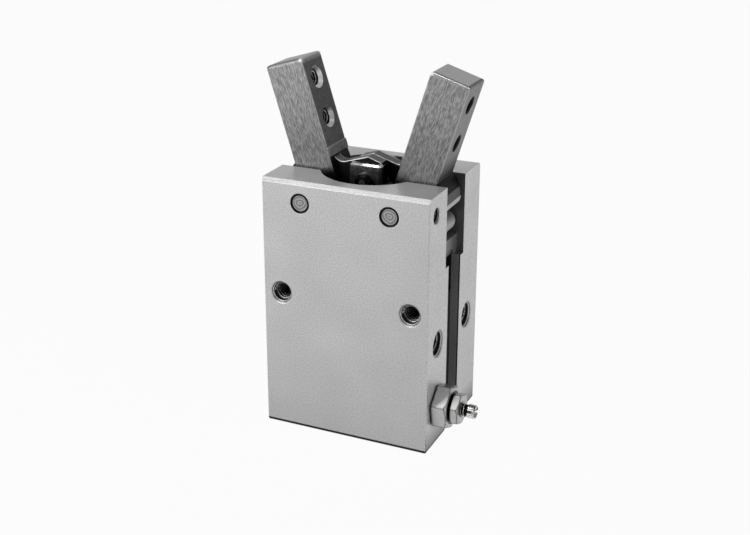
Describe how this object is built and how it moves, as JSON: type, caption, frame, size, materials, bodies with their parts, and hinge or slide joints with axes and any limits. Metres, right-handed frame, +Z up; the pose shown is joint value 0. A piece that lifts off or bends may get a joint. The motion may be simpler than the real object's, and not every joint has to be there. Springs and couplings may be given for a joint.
{
  "type": "pneumatic angular gripper",
  "caption": "Compact pneumatic gripper: a rectangular metal block with hinged fingers that swing open and shut, side air ports and a flow control screw.",
  "frame": {"origin": "centre of the bottom face, on the axis of the locating recess", "axes": "+Z up towards the fingertips, -Y towards the front face with the pivot pin ends, +X towards the side with the ports and the flow control valve"},
  "size_m": [0.0408, 0.0236, 0.0646],
  "materials": {
    "anodised_aluminium": "bead blasted and anodised, satin",
    "finger_steel": "ground along the length",
    "pin_steel": "ground and turned",
    "dark_steel": "blackened",
    "plated_brass": "nickel plated",
    "rubber": "moulded",
    "resin": "moulded",
    "magnet": "moulded with magnet powder"
  },
  "bodies": {
    "housing": {"body": "anodised_aluminium", "left_pivot_pin": "pin_steel", "right_pivot_pin": "pin_steel", "left_set_screw": "dark_steel", "right_set_screw": "dark_steel", "rod_seal": "rubber", "rod_bumper": "rubber", "cap_bumper": "rubber", "end_cap": "resin", "cap_gasket": "rubber", "retaining_ring": "dark_steel", "needle_valve_body": "plated_brass", "needle_valve_gasket": "rubber", "needle_lock_nut": "plated_brass", "passage_ball": "pin_steel"},
    "piston": {"piston": "pin_steel", "piston_magnet": "magnet", "piston_seal": "rubber", "wear_ring": "resin", "joint": "dark_steel", "joint_pin": "pin_steel"},
    "left_finger": {"left_finger": "finger_steel"},
    "right_finger": {"right_finger": "finger_steel"},
    "needle_seal": {"needle_o_ring": "rubber"},
    "needle": {"needle": "plated_brass"}
  },
  "joints": [
    {"name": "piston_slide", "type": "slide", "parent": "housing", "child": "piston", "axis": [0, 0, -1], "range_m": [0, 0.00328]},
    {"name": "left_finger_pivot", "type": "hinge", "parent": "housing", "child": "left_finger", "pos_m": [-0.00815, 0, 0.042], "axis": [0, 1, 0], "range_deg": [0, 22.5]},
    {"name": "right_finger_pivot", "type": "hinge", "parent": "housing", "child": "right_finger", "pos_m": [0.00815, 0, 0.042], "axis": [0, -1, 0], "range_deg": [0, 22.5]},
    {"name": "needle_travel", "type": "slide", "parent": "housing", "child": "needle_seal", "axis": [1, 0, 0], "range_m": [-0.00045, 0.0009]},
    {"name": "needle_turn", "type": "hinge", "parent": "needle_seal", "child": "needle", "pos_m": [0.0153, -0.0068, 0.0073], "axis": [1, 0, 0], "range_deg": [-375, 735]}
  ],
  "couplings": [
    {"joint": "left_finger_pivot", "follows": "piston_slide", "rad_per_m": 119.65},
    {"joint": "right_finger_pivot", "follows": "piston_slide", "rad_per_m": 119.65},
    {"joint": "needle_turn", "follows": "needle_travel", "rad_per_m": 13962}
  ]
}
